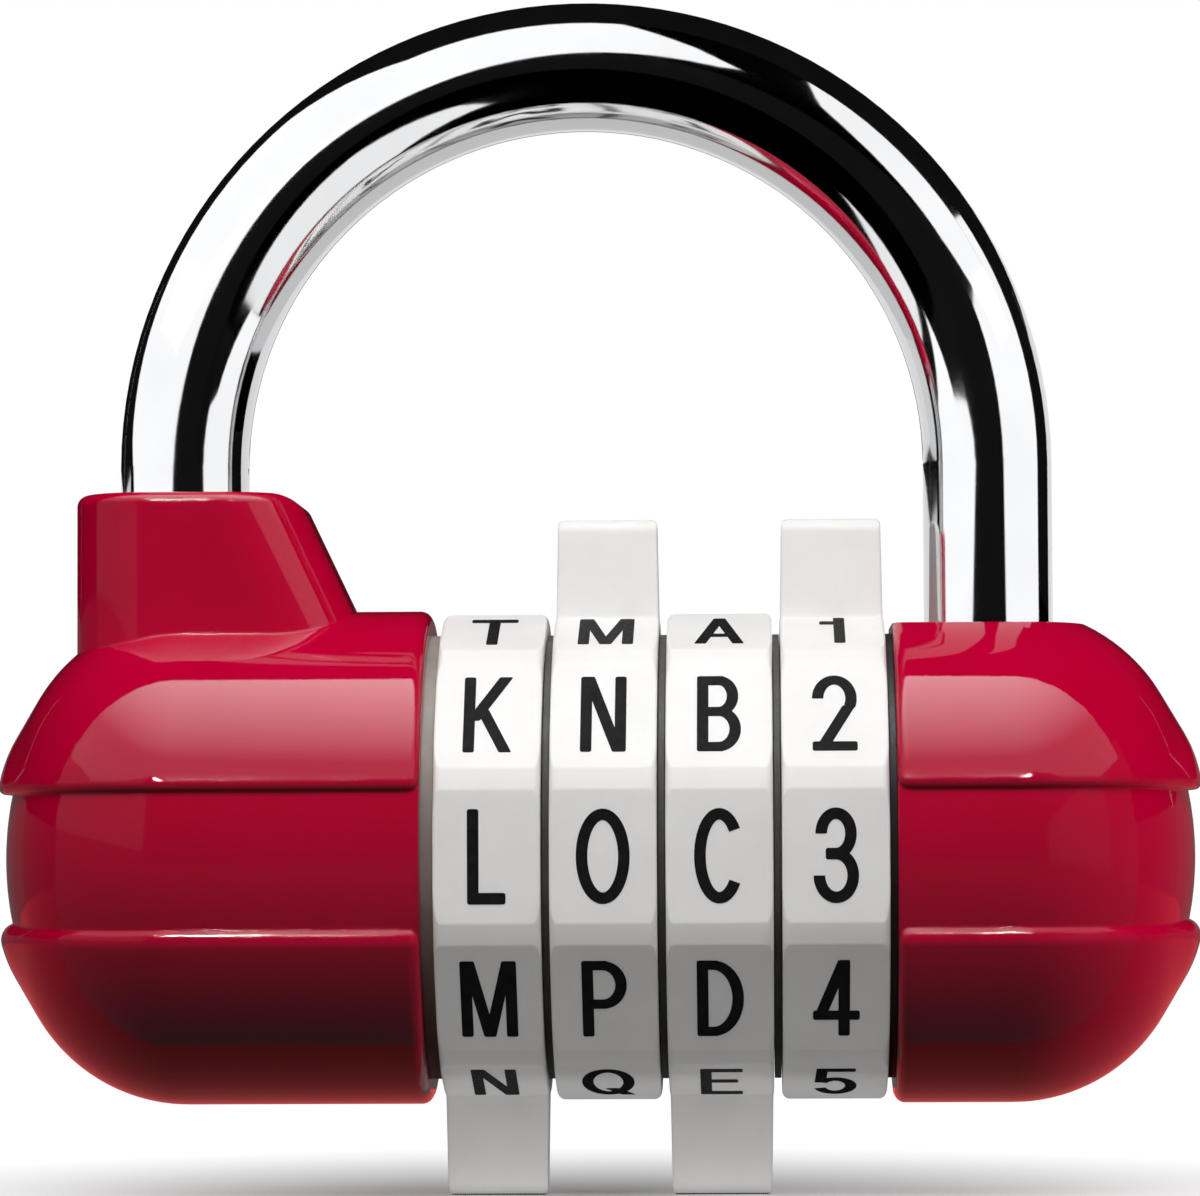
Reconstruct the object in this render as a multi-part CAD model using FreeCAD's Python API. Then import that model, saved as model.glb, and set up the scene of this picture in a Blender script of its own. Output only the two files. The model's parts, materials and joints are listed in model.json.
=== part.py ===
# Four-dial word combination padlock: two enamelled barrel caps, a chromed shackle
# and four ten-sided dials with finger fins, carried on a slotted core tube.
#
# Every shape is drawn with the dial axis on X and Z up, with x = 0 midway between
# the shackle legs and the front of the lock towards -Y. The finished pieces are
# then set down from the hanging point, the inside of the bow's crown.
import FreeCAD, Part
import math
import os

os.makedirs("parts", exist_ok=True)
V = FreeCAD.Vector
X_AXIS = V(1, 0, 0)
Y_AXIS = V(0, 1, 0)
Z_AXIS = V(0, 0, 1)
CENTRE = V(0, 0, 0)

# Radius of the barrel, which the caps and the dials share
cap_r = 13.34
past = 1.0                   # cutters run on past the faces they cut by this much

# Dials
dial_count = 4
dial_sides = 10
dial_width = 5.6
dial_facet_drop = 0.69       # the middle of a lettered facet lies this far inside the barrel
dial_turned_drop = 0.22      # and so does the turned blank, before its facets are cut
dial_crease_r = 1.2          # rounding where two facets meet
dial_rim_r = 0.4             # rounding of the turned rim, left at the facets' corners
dial_wall = 4.85             # from the bore to the middle of a facet
fin_up = [False, True, False, True]
fin_reach = 4.91             # how far the finger fins stand out of the barrel
fin_root_depth = 2.0
fin_root_t = 3.0             # thickness where the fin leaves the dial
fin_tip_t = 1.7
fin_tip_corner_r = 0.76
fin_draft = 0.12             # each side of the fin narrows by this much towards its tip
fin_corner_r = 0.35

# Washers and end plates of the dial stack
washer_t = 0.35
washer_drop = 0.65           # they lie this far inside the dials' facets
left_plate_t = 0.66
right_plate_t = 0.37
washer_bore_play = 0.05
stack_gap = 0.05             # running gap on each side of every dial
key_play = 0.1

# Housings
left_cap_length = 23.5
right_cap_length = 16.7
cap_shoulder_centre = 3.94   # dial axis to the centre of the dome's first rounding, its shoulder
cap_slope = 59.0             # the dome then slopes at this many degrees to the dial axis
cap_end_r = 6.76             # and rounds into a flat disc
cap_end_disc_r = 3.2
cap_face_edge_r = 0.6
band_depth = 0.45            # how far the band round each cap lies below the surface
band_end_depth = 0.38        # and below the flat disc, where its floor is crowned
band_top_z = 3.45
band_bottom_z = -3.42
band_top_lip_r = 0.41
band_bottom_lip_r = 0.95
toe_land_drop = 0.93         # flat on the right cap round the toe hole

# Tower that carries the heel of the shackle
tower_rise = 6.26            # height above the barrel
tower_depth = 12.0
tower_corner_r = 4.2
tower_left_wall = 2.05       # wall outside the heel bore
tower_shoulder_x = 6.3       # heel axis to the corner where the slope starts
tower_slope_run = 3.0        # how far the slope runs out down to the barrel
tower_slope_drop = 6.3
tower_shoulder_r = 2.2
tower_shoulder_crease = 3.0  # degrees left between the rounded shoulder and the slope
tower_rim_r = 0.6

# Shackle
bar_d = 7.0
bar_play = 0.1
heel_inset = 13.5            # left cap's inner face to the heel axis
toe_inset = 5.31             # right cap's inner face to the toe axis
bow_lift = 1.63              # tower top to the centre of the bow
heel_bore_wall = 2.94        # left under the heel's bore
toe_bore_floor = 1.31        # left between the toe's hole and the core tube
leg_end_room = 0.4
toe_chamfer = 1.0
heel_chamfer = 0.5
lift = 9.0                   # opening travel
ramp_slope = 0.25            # spindle travel for each unit of lift
ramp_lead = 0.4              # straight part of the ramp above the spindle's nose
retainer_flat_depth = 0.9

# Core tube and spindle
tube_d = 9.0
tube_bore_d = 5.0
tube_seat_left = 6.0         # length held in the left cap
tube_seat_right = 9.2
press_play = 0.02            # space left at pieces that are pressed together
slot_width = 2.1
spindle_d = 4.6
spindle_nose_r = 1.2
spindle_nose_play = 0.05
spindle_tail = 1.2           # spindle's length past the dial stack
spigot_d = 2.2
spigot_length = 2.0
spindle_fin_w = 1.0
spindle_fin_t = 1.8
spindle_fin_sink = 1.8       # root of a fin inside the rod
fin_tip_play = 0.3
fin_web_play = 0.1

# Hubs
hub_width = 5.5
hub_bore_play = 0.05
hub_web = 1.0                # middle land that blocks a spindle fin
hub_groove_w = 1.25
gate_width = 2.4
spline_height = 0.5
spline_width = 1.4
spline_play = 0.05
spline_sink = 0.5            # root of a spline inside the hub
click_notch_w = 2.2
click_notch_depth = 0.5

# Click springs
click_groove_w = 1.5
click_groove_depth = 0.9
click_t = 0.2
click_width = 1.0
click_length = 4.8
click_foot = 0.5
click_rise = 0.85
click_seat_play = 0.02

# Spindle return spring
spring_wire_w = 0.5          # flat wire: its width along the coil
spring_wire_t = 0.4
spring_d = 4.2
spring_turns = 6

# Pins and screw
stop_pin_d = 2.0
stop_pin_z = 6.5
stop_pin_room = 0.05
pin_end_room = 0.1
key_pin_d = 1.6
key_pin_length = 4.5
case_screw_d = 3.0
case_screw_socket = 1.5
case_screw_socket_depth = 1.2
case_screw_tip_z = 2.75

# Places along the dial axis, worked out from the stack
dial_pitch = dial_width + washer_t + 2 * stack_gap
stack_length = (left_plate_t + right_plate_t + 2 * stack_gap
                + dial_width + (dial_count - 1) * dial_pitch)
bow_r = (heel_inset + stack_length + toe_inset) / 2
heel_x = -bow_r
toe_x = bow_r
left_face_x = heel_x + heel_inset
right_face_x = toe_x - toe_inset
first_dial_x = left_face_x + left_plate_t + stack_gap + dial_width / 2
dial_x = [first_dial_x + i * dial_pitch for i in range(dial_count)]
tube_left_x = left_face_x - tube_seat_left
tube_right_x = right_face_x + tube_seat_right

# Radii and heights that follow from the sizes above
bar_r = bar_d / 2
bore_r = bar_r + bar_play
tube_r = tube_d / 2
tube_bore_r = tube_bore_d / 2
spindle_r = spindle_d / 2
dial_flat_r = cap_r - dial_facet_drop
dial_turned_r = cap_r - dial_turned_drop
fin_tip_r = cap_r + fin_reach
washer_r = dial_flat_r - washer_drop
hub_r = dial_flat_r - dial_wall
hub_bore_r = tube_r + hub_bore_play
hub_groove_r = (hub_bore_r + hub_r) / 2
spindle_fin_r = hub_groove_r - fin_tip_play
cap_shoulder_r = cap_r - cap_shoulder_centre
toe_land_z = cap_r - toe_land_drop
tower_top_z = cap_r + tower_rise
bow_rise = tower_top_z + bow_lift
hang_z = bow_rise + bow_r - bar_r
heel_bore_end_z = heel_bore_wall - cap_r
heel_end_z = heel_bore_end_z + leg_end_room
toe_bore_end_z = tube_r + toe_bore_floor
toe_end_z = toe_bore_end_z + leg_end_room
spindle_travel = lift * ramp_slope
ramp_deep_x = heel_x + bar_r - spindle_travel
click_floor_r = tube_r - click_groove_depth
dial_point_r = dial_flat_r / math.cos(math.pi / dial_sides)


def rod_x(x1, x2, radius, y=0.0, z=0.0):
    """Round rod along X."""
    return Part.makeCylinder(radius, x2 - x1, V(x1, y, z), X_AXIS)


def rod_z(z1, z2, radius, x=0.0, y=0.0):
    """Round rod along Z."""
    return Part.makeCylinder(radius, z2 - z1, V(x, y, z1), Z_AXIS)


def block(x1, x2, y1, y2, z1, z2):
    """Rectangular block between two corners."""
    return Part.makeBox(x2 - x1, y2 - y1, z2 - z1, V(x1, y1, z1))


def polygon(points):
    """Closed wire through the points."""
    return Part.makePolygon(points + [points[0]])


def solid_of(shape):
    """The one solid that a boolean leaves, with its split faces joined again."""
    return shape.removeSplitter().Solids[0]


def around_axis(shape, degrees):
    """A copy turned about the dial axis."""
    turned = shape.copy()
    turned.rotate(CENTRE, X_AXIS, degrees)
    return turned


def rounded_corner_face(points, radii):
    """Flat face through the points, with a tangent arc at every corner that has a radius."""
    edges = []
    count = len(points)
    starts = []
    for i, (point, radius) in enumerate(zip(points, radii)):
        back = (points[i - 1] - point).normalize()
        ahead = (points[(i + 1) % count] - point).normalize()
        if not radius:
            starts.append((point, None, point))
            continue
        half = back.getAngle(ahead) / 2
        reach = radius / math.tan(half)
        middle = (back + ahead).normalize()
        arc_centre = point + middle * (radius / math.sin(half))
        starts.append((point + back * reach, arc_centre - middle * radius, point + ahead * reach))
    for i, (enter, mid, leave) in enumerate(starts):
        if mid is not None:
            edges.append(Part.Arc(enter, mid, leave).toShape())
        following = starts[(i + 1) % count][0]
        if leave.distanceToPoint(following) > 1e-6:
            edges.append(Part.LineSegment(leave, following).toShape())
    return Part.Face(Part.Wire(edges))


def line(start, end):
    """Straight edge between two points."""
    return Part.LineSegment(start, end).toShape()


def on_arc(centre, radius, side, angle):
    """Point on a circle in the XZ plane, the angle measured from straight up."""
    return centre + V(side * math.sin(angle), 0, math.cos(angle)) * radius


def arc(centre, radius, side, first, last):
    """Circular edge between two such angles."""
    return Part.Arc(*[on_arc(centre, radius, side, angle)
                      for angle in (first, (first + last) / 2, last)]).toShape()


def cap_centres(face_x, length, side):
    """Centres of the two arcs that shape the domed end: the shoulder and the end rounding."""
    slope = math.radians(cap_slope)
    end = V(face_x + side * (length - cap_end_r), 0, cap_end_disc_r)
    rise = cap_shoulder_r - cap_end_r + (cap_shoulder_centre - cap_end_disc_r) * math.cos(slope)
    return V(end.x - side * rise / math.sin(slope), 0, cap_shoulder_centre), end


def turned_form(face_x, barrel_r, edges):
    """Solid turned about the dial axis from a barrel line and the edges of its domed end."""
    start = edges[0].firstVertex(True).Point
    tip = edges[-1].lastVertex(True).Point
    profile = [line(V(face_x, 0, 0), V(face_x, 0, barrel_r)), line(V(face_x, 0, barrel_r), start)]
    profile += edges
    if tip.z > 0.001:
        profile.append(line(tip, V(tip.x, 0, 0)))
    profile.append(line(V(tip.x, 0, 0), V(face_x, 0, 0)))
    return Part.Face(Part.Wire(profile)).revolve(CENTRE, X_AXIS, 360)


def cap_form(face_x, length, side):
    """Barrel with a flat inner face; its outer end has a round shoulder, a slope and a flat disc."""
    slope = math.radians(cap_slope)
    shoulder, end = cap_centres(face_x, length, side)
    dome = [arc(shoulder, cap_shoulder_r, side, 0, slope),
            line(on_arc(shoulder, cap_shoulder_r, side, slope), on_arc(end, cap_end_r, side, slope)),
            arc(end, cap_end_r, side, slope, math.pi / 2)]
    return turned_form(face_x, cap_r, dome)


def band_form(face_x, length, side):
    """Floor of the band: the barrel set in by its depth, with a crowned outer end."""
    shoulder = cap_centres(face_x, length, side)[0]
    shoulder_r = cap_shoulder_r - band_depth
    tip_x = face_x + side * (length - band_end_depth)
    reach = abs(tip_x - shoulder.x)
    crown_r = (shoulder_r ** 2 - reach ** 2 - shoulder.z ** 2) / (2 * (shoulder_r - reach))
    crown = V(tip_x - side * crown_r, 0, 0)
    meet = math.atan2(abs(shoulder.x - crown.x), shoulder.z)
    dome = [arc(shoulder, shoulder_r, side, 0, meet), arc(crown, crown_r, side, meet, math.pi / 2)]
    return turned_form(face_x, cap_r - band_depth, dome)


def level_edges(shape, z):
    """Edges of a shape that run level at height z, except those square to the dial axis."""
    return [edge for edge in shape.Edges
            if abs(edge.BoundBox.ZMin - z) + abs(edge.BoundBox.ZMax - z) < 0.001
            and edge.BoundBox.XLength > 0.01]


def banded_cap(face_x, length, side):
    """Cap with the recessed band that runs round its front, outer end and back."""
    reach = 2 * length + 2 * cap_r
    belt = block(face_x - reach, face_x + reach, -reach, reach, band_bottom_z, band_top_z)
    wings = cap_form(face_x, length, side).cut(belt)
    wings = wings.makeFillet(band_top_lip_r, level_edges(wings, band_top_z))
    wings = wings.makeFillet(band_bottom_lip_r, level_edges(wings, band_bottom_z))
    faces = [edge for edge in wings.Edges
             if abs(edge.BoundBox.XMin - face_x) + abs(edge.BoundBox.XMax - face_x) < 0.001
             and edge.BoundBox.ZLength > band_top_z]
    wings = wings.makeFillet(cap_face_edge_r, faces)
    return solid_of(wings.fuse(band_form(face_x, length, side)))


def tower():
    """Tower on the left cap: a rounded block whose inner side slopes down to the barrel."""
    left_x = heel_x - bore_r - tower_left_wall
    shoulder_x = heel_x + tower_shoulder_x
    foot_x = shoulder_x + tower_slope_run
    half = tower_depth / 2
    upright = rounded_corner_face(
        [V(left_x, -half, 0), V(foot_x, -half, 0), V(foot_x, half, 0), V(left_x, half, 0)],
        [tower_corner_r, 0, 0, tower_corner_r]).extrude(V(0, 0, tower_top_z))

    # the sloping side, drawn square to its slope and swept along it
    slope = V(tower_slope_run, 0, -tower_slope_drop).normalize()
    inward = V(-tower_slope_drop, 0, -tower_slope_run).normalize()
    top = V(shoulder_x, 0, tower_top_z) - slope * tower_top_z
    width = foot_x - left_x
    corners = [top + V(0, -half, 0), top + V(0, half, 0),
               top + inward * width * 2 + V(0, half, 0), top + inward * width * 2 + V(0, -half, 0)]
    leaning = rounded_corner_face(corners, [tower_corner_r, tower_corner_r, 0, 0])
    leaning = leaning.extrude(slope * (3 * tower_top_z))

    steep = math.atan(tower_slope_run / tower_slope_drop) + math.radians(tower_shoulder_crease)
    outline = rounded_corner_face(
        [V(left_x - past, -tower_depth, 0), V(foot_x, -tower_depth, 0),
         V(foot_x, -tower_depth, tower_top_z - tower_slope_run / math.tan(steep)),
         V(shoulder_x, -tower_depth, tower_top_z), V(left_x - past, -tower_depth, tower_top_z)],
        [0, 0, 0, tower_shoulder_r, 0]).extrude(V(0, 2 * tower_depth, 0))
    body = solid_of(upright.common(leaning).common(outline))
    rim = [edge for edge in body.Edges
           if edge.BoundBox.ZMin > tower_top_z - 0.001 and edge.BoundBox.ZMax > tower_top_z - 0.001
           and edge.BoundBox.XMax < shoulder_x]
    return body.makeFillet(tower_rim_r, rim)


def left_housing():
    """Left cap with its tower, heel bore, tube seat, spindle guide and pin holes."""
    body = solid_of(banded_cap(left_face_x, left_cap_length, -1).fuse(tower()))
    cuts = [
        rod_z(heel_bore_end_z, tower_top_z + past, bore_r, x=heel_x),
        rod_x(tube_left_x, left_face_x + past, tube_r + press_play),
        rod_x(heel_x, tube_left_x, spindle_r + bar_play),
        rod_x(stop_pin_end_x(), left_face_x + past, stop_pin_d / 2 + press_play,
              y=stop_pin_y(), z=stop_pin_z),
        rod_x(left_face_x - key_pin_length, left_face_x + past, key_pin_d / 2 + press_play, z=tube_r),
    ]
    return solid_of(body.cut(cuts))


def right_housing():
    """Right cap with its toe land, toe hole, tube seat and screw hole."""
    body = banded_cap(right_face_x, right_cap_length, 1)
    above = block(right_face_x - past, right_face_x + right_cap_length, -cap_r, cap_r,
                  toe_land_z, cap_r + past)
    cuts = [
        above,
        rod_z(toe_bore_end_z, cap_r + past, bore_r, x=toe_x),
        rod_x(right_face_x - past, tube_right_x, tube_r + press_play),
        rod_z(0, toe_bore_end_z, case_screw_d / 2 + press_play, x=toe_x),
    ]
    return solid_of(body.cut(cuts))


def stop_pin_y():
    """The stop pin lies along the flat on the back of the heel."""
    return bar_r - retainer_flat_depth + stop_pin_room + stop_pin_d / 2


def stop_pin_end_x():
    """The stop pin reaches just past the far side of the heel bore."""
    return heel_x - bore_r


def heel_stop_pin():
    """Pin that keeps the heel in its bore when the shackle is lifted."""
    return rod_x(stop_pin_end_x() + pin_end_room, left_face_x - pin_end_room, stop_pin_d / 2,
                 y=stop_pin_y(), z=stop_pin_z)


def tube_key_pin():
    """Pin half in the tube and half in the left cap, so that the tube can't turn."""
    return rod_x(left_face_x - key_pin_length + pin_end_room, left_face_x - pin_end_room,
                 key_pin_d / 2, z=tube_r)


def shackle():
    """Round-bar shackle: long ramped heel, half-round bow and short toe."""
    heel = rod_z(heel_end_z, bow_rise, bar_r, x=heel_x)
    toe = rod_z(toe_end_z, bow_rise, bar_r, x=toe_x)
    heel = heel.makeChamfer(heel_chamfer, [lowest_edge(heel)])
    toe = toe.makeChamfer(toe_chamfer, [lowest_edge(toe)])
    section = Part.Face(Part.Wire(Part.makeCircle(bar_r, V(toe_x, 0, bow_rise), Z_AXIS)))
    bow = section.revolve(V(0, 0, bow_rise), Y_AXIS, -180)
    bar = solid_of(heel.fuse([bow, toe]))
    return solid_of(bar.cut([heel_ramp(), heel_flat(), heel_groove()]))


def lowest_edge(shape):
    """The edge of a shape that lies lowest."""
    return min(shape.Edges, key=lambda edge: edge.BoundBox.ZMax)


def heel_ramp():
    """Wedge cut in the inner side of the heel, which pushes the spindle as the shackle lifts."""
    out_x = heel_x + bar_r
    shoulder = spindle_nose_r + ramp_lead
    points = [V(ramp_deep_x, -bar_d, 0), V(ramp_deep_x, -bar_d, shoulder),
              V(out_x + past, -bar_d, shoulder + spindle_travel + past),
              V(out_x + past, -bar_d, -lift - past / ramp_slope)]
    return Part.Face(polygon(points)).extrude(V(0, 2 * bar_d, 0))


def heel_flat():
    """Long flat on the back of the heel that runs past the stop pin."""
    room = stop_pin_d / 2 + stop_pin_room
    return block(heel_x - bar_d, heel_x + bar_d, bar_r - retainer_flat_depth, bar_d,
                 stop_pin_z - lift - room, stop_pin_z + room + leg_end_room)


def heel_groove():
    """Groove round the heel, level with the stop pin when lifted, so that the shackle can swing."""
    room = stop_pin_d / 2 + stop_pin_room
    low_z = stop_pin_z - lift - room
    ring = rod_z(low_z, low_z + 2 * room, bar_d, x=heel_x)
    return ring.cut(rod_z(low_z - past, low_z + 2 * room + past, bar_r - retainer_flat_depth, x=heel_x))


def core_tube():
    """Slotted tube that joins the caps and carries the dials."""
    tube = rod_x(tube_left_x, tube_right_x - press_play, tube_r)
    half = slot_width / 2
    cuts = [
        rod_x(tube_left_x - past, tube_right_x + past, tube_bore_r),
        block(left_face_x, tube_right_x + past, -half, half, -tube_d, 0),
        block(left_face_x, tube_right_x + past, -click_groove_w / 2, click_groove_w / 2,
              click_floor_r, tube_d),
        rod_x(left_face_x - key_pin_length, left_face_x, key_pin_d / 2 + press_play, z=tube_r),
        rod_z(0, tube_d, case_screw_d / 2 + press_play, x=toe_x),
    ]
    return solid_of(tube.cut(cuts))


def stack_disc(x1, thickness):
    """Flat washer of the dial stack, keyed to the tube and notched to let the spindle fins by."""
    bore = tube_r + washer_bore_play
    disc = rod_x(x1, x1 + thickness, washer_r)
    disc = disc.cut([rod_x(x1 - past, x1 + thickness + past, bore),
                     block(x1 - past, x1 + thickness + past, -gate_width / 2, gate_width / 2,
                           -hub_groove_r, 0)])
    half = click_groove_w / 2 - key_play
    key = block(x1, x1 + thickness, -half, half, click_floor_r + key_play, bore + past)
    return solid_of(disc.fuse(key))


def spindle():
    """Sliding rod with a round nose, four blocking fins and a spigot for its spring."""
    end_x = spindle_end_x()
    shoulder_x = heel_x + bore_r
    rod = rod_x(shoulder_x, end_x, spindle_r)
    spigot = rod_x(end_x, end_x + spigot_length, spigot_d / 2)
    half = spindle_fin_t / 2
    root_z = spindle_fin_sink - spindle_r
    fins = [block(x - spindle_fin_w / 2, x + spindle_fin_w / 2, -half, half, -spindle_fin_r, root_z)
            for x in spindle_fin_x()]
    return solid_of(rod.fuse([spindle_nose(shoulder_x), spigot] + fins))


def spindle_nose(shoulder_x):
    """Ball-ended cone that bears on the heel's ramp."""
    ball_x = ramp_deep_x + (spindle_nose_r + spindle_nose_play) / math.cos(math.atan(ramp_slope))
    centre = V(ball_x, 0, 0)
    shoulder = V(shoulder_x, 0, spindle_r)
    to_shoulder = shoulder - centre
    touch = (math.atan2(to_shoulder.z, to_shoulder.x)
             + math.acos(spindle_nose_r / to_shoulder.Length))

    def on_ball(angle):
        return centre + V(math.cos(angle), 0, math.sin(angle)) * spindle_nose_r

    outline = Part.Wire([
        Part.Arc(on_ball(math.pi), on_ball((math.pi + touch) / 2), on_ball(touch)).toShape(),
        line(on_ball(touch), shoulder),
        line(shoulder, V(shoulder_x, 0, 0)),
        line(V(shoulder_x, 0, 0), on_ball(math.pi)),
    ])
    return Part.Face(outline).revolve(CENTRE, X_AXIS, 360)


def spindle_fin_x():
    """At rest each fin stands just short of the web in the middle of its hub."""
    back = hub_web / 2 + fin_web_play + spindle_fin_w / 2
    return [x - back for x in dial_x]


def spindle_end_x():
    """Right end of the spindle's full-size rod."""
    return right_face_x + spindle_tail


def spindle_spring():
    """Coil spring between the spindle's end and the bottom of the right cap's tube seat."""
    half = spring_wire_w / 2
    start_x = spindle_end_x() + half + press_play
    end_x = tube_right_x - half - press_play
    outer_r = spring_d / 2
    inner_r = outer_r - spring_wire_t
    helix = Part.makeHelix((end_x - start_x) / spring_turns, end_x - start_x, outer_r)
    section = polygon([V(inner_r, 0, -half), V(outer_r, 0, -half), V(outer_r, 0, half), V(inner_r, 0, half)])
    coil = Part.Wire(helix).makePipeShell([section], True, True)
    coil.rotate(CENTRE, Y_AXIS, 90)
    coil.translate(V(start_x, 0, 0))
    return coil


def click_spring(x):
    """Bowed leaf spring in the tube's top groove, its crown in a notch of the hub."""
    half = click_length / 2
    bow = half - click_foot
    low = click_floor_r + click_seat_play
    under = [V(x - half, 0, low), V(x - bow, 0, low), V(x, 0, low + click_rise),
             V(x + bow, 0, low), V(x + half, 0, low)]
    over = [point + V(0, 0, click_t) for point in reversed(under)]

    def bowed(points):
        a, b, c, d, e = points
        return [line(a, b), Part.Arc(b, c, d).toShape(), line(d, e)]

    ends = [line(under[-1], over[0]), line(over[-1], under[0])]
    outline = Part.Wire(bowed(under) + ends[:1] + bowed(over) + ends[1:])
    outline.translate(V(0, -click_width / 2, 0))
    return Part.Face(outline).extrude(V(0, click_width, 0))


def ring_of(cutter, first_degrees):
    """One cutter for each side of the dial, set round the dial axis."""
    step = 360.0 / dial_sides
    return [around_axis(cutter, first_degrees + i * step) for i in range(dial_sides)]


def hub(x):
    """Splined brass hub: gate, two turned grooves for the spindle fin and ten click notches."""
    x1 = x - hub_width / 2
    x2 = x + hub_width / 2
    body = rod_x(x1, x2, hub_r)
    spline = block(x1, x2, -spline_width / 2, spline_width / 2, hub_r - spline_sink,
                   hub_r + spline_height)
    body = body.fuse(ring_of(spline, 0))
    cuts = [
        rod_x(x1 - past, x2 + past, hub_bore_r),
        rod_x(x - hub_web / 2 - hub_groove_w, x - hub_web / 2, hub_groove_r),
        rod_x(x + hub_web / 2, x + hub_web / 2 + hub_groove_w, hub_groove_r),
        block(x1 - past, x2 + past, -gate_width / 2, gate_width / 2, -hub_groove_r, 0),
    ]
    half = click_notch_w / 2
    mouth_z = math.sqrt(hub_bore_r ** 2 - half ** 2)
    notch = Part.Face(polygon([V(x1 - past, -half, mouth_z), V(x1 - past, half, mouth_z),
                               V(x1 - past, 0, hub_bore_r + click_notch_depth)]))
    return solid_of(body.cut(cuts + ring_of(notch.extrude(V(hub_width + 2 * past, 0, 0)), 0)))


def dial_fin(x):
    """Radial finger fin, pointing up: tapered in thickness, with a round tip."""
    root_z = dial_flat_r - fin_root_depth
    tip_half = fin_tip_t / 2
    side = rounded_corner_face(
        [V(x, -fin_root_t / 2, root_z), V(x, fin_root_t / 2, root_z),
         V(x, tip_half, fin_tip_r), V(x, -tip_half, fin_tip_r)],
        [0, 0, fin_tip_corner_r, fin_tip_corner_r])
    side.translate(V(-dial_width, 0, 0))
    blade = side.extrude(V(2 * dial_width, 0, 0))
    half = dial_width / 2
    front = rounded_corner_face(
        [V(x - half, -dial_width, root_z), V(x + half, -dial_width, root_z),
         V(x + half - fin_draft, -dial_width, fin_tip_r),
         V(x - half + fin_draft, -dial_width, fin_tip_r)],
        [0, 0, fin_corner_r, fin_corner_r])
    return solid_of(blade.common(front.extrude(V(0, 2 * dial_width, 0))))


def dial_blank(x):
    """Turned disc with rounded rims, from which the facets are cut."""
    disc = rod_x(x - dial_width / 2, x + dial_width / 2, dial_turned_r)
    rims = [edge for edge in disc.Edges if edge.BoundBox.XLength < 0.001]
    return disc.makeFillet(dial_rim_r, rims)


def dial(x, fin_is_up):
    """Ten-sided dial with rounded creases, a splined bore and one fin on a crease."""
    step = 2 * math.pi / dial_sides
    corners = [V(x - dial_width, dial_point_r * math.sin(i * step),
                 dial_point_r * math.cos(i * step)) for i in range(dial_sides)]
    facets = rounded_corner_face(corners, [dial_crease_r] * dial_sides)
    body = dial_blank(x).common(facets.extrude(V(2 * dial_width, 0, 0)))
    body = body.fuse(dial_fin(x))
    bore = rod_x(x - dial_width, x + dial_width, hub_r + spline_play)
    half = spline_width / 2 + spline_play
    groove = block(x - dial_width, x + dial_width, -half, half, hub_r - spline_sink,
                   hub_r + spline_height + spline_play)
    body = solid_of(body.cut([bore] + ring_of(groove, 0)))
    return body if fin_is_up else around_axis(body, 180)


def case_screw():
    """Set screw at the bottom of the toe hole, which holds the tube in the right cap."""
    screw = rod_z(case_screw_tip_z, toe_bore_end_z - pin_end_room, case_screw_d / 2, x=toe_x)
    across = case_screw_socket / math.sqrt(3)
    corners = [V(toe_x + across * math.cos(i * math.pi / 3), across * math.sin(i * math.pi / 3),
                 toe_bore_end_z) for i in range(6)]
    socket = Part.Face(polygon(corners)).extrude(V(0, 0, -case_screw_socket_depth))
    return solid_of(screw.cut(socket))


def save(name, shape):
    """Hang the piece from the bow's inner crown and write it."""
    placed = shape.copy()
    placed.translate(V(0, 0, -hang_z))
    placed.exportStep("parts/" + name + ".step")
    print(name, "valid" if placed.isValid() else "NOT VALID", len(placed.Solids),
          round(placed.Volume, 2))


save("left_housing", left_housing())
save("right_housing", right_housing())
save("shackle", shackle())
save("heel_stop_pin", heel_stop_pin())
save("tube_key_pin", tube_key_pin())
save("core_tube", core_tube())
save("case_screw", case_screw())
save("left_bearing_plate", stack_disc(left_face_x, left_plate_t))
save("right_bearing_plate", stack_disc(right_face_x - right_plate_t, right_plate_t))
for number in range(1, dial_count):
    washer_x = dial_x[number - 1] + dial_width / 2 + stack_gap
    save("spacer_washer_" + str(number), stack_disc(washer_x, washer_t))
for number, (x, is_up) in enumerate(zip(dial_x, fin_up), 1):
    save("dial_" + str(number), dial(x, is_up))
    save("hub_" + str(number), hub(x))
    save("click_spring_" + str(number), click_spring(x))
save("spindle", spindle())
save("spindle_spring", spindle_spring())
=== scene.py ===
import bpy, bmesh
import json, math
from mathutils import Euler, Matrix, Vector


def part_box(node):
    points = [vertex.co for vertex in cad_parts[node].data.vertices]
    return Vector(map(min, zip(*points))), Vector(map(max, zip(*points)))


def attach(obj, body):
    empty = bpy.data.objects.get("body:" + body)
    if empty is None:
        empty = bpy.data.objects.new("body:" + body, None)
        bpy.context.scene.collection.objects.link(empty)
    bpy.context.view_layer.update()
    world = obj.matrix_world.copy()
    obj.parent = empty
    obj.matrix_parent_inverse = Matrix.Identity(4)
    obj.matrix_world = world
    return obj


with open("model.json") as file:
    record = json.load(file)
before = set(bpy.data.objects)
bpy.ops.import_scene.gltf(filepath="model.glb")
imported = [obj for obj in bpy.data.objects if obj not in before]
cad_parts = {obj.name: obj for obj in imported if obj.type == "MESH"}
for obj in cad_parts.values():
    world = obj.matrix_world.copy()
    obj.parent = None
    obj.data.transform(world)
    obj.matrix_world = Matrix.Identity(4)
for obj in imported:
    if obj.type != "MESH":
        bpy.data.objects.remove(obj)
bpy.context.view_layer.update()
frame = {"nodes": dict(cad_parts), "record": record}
nodes = frame["nodes"]
mm = 0.001

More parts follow.
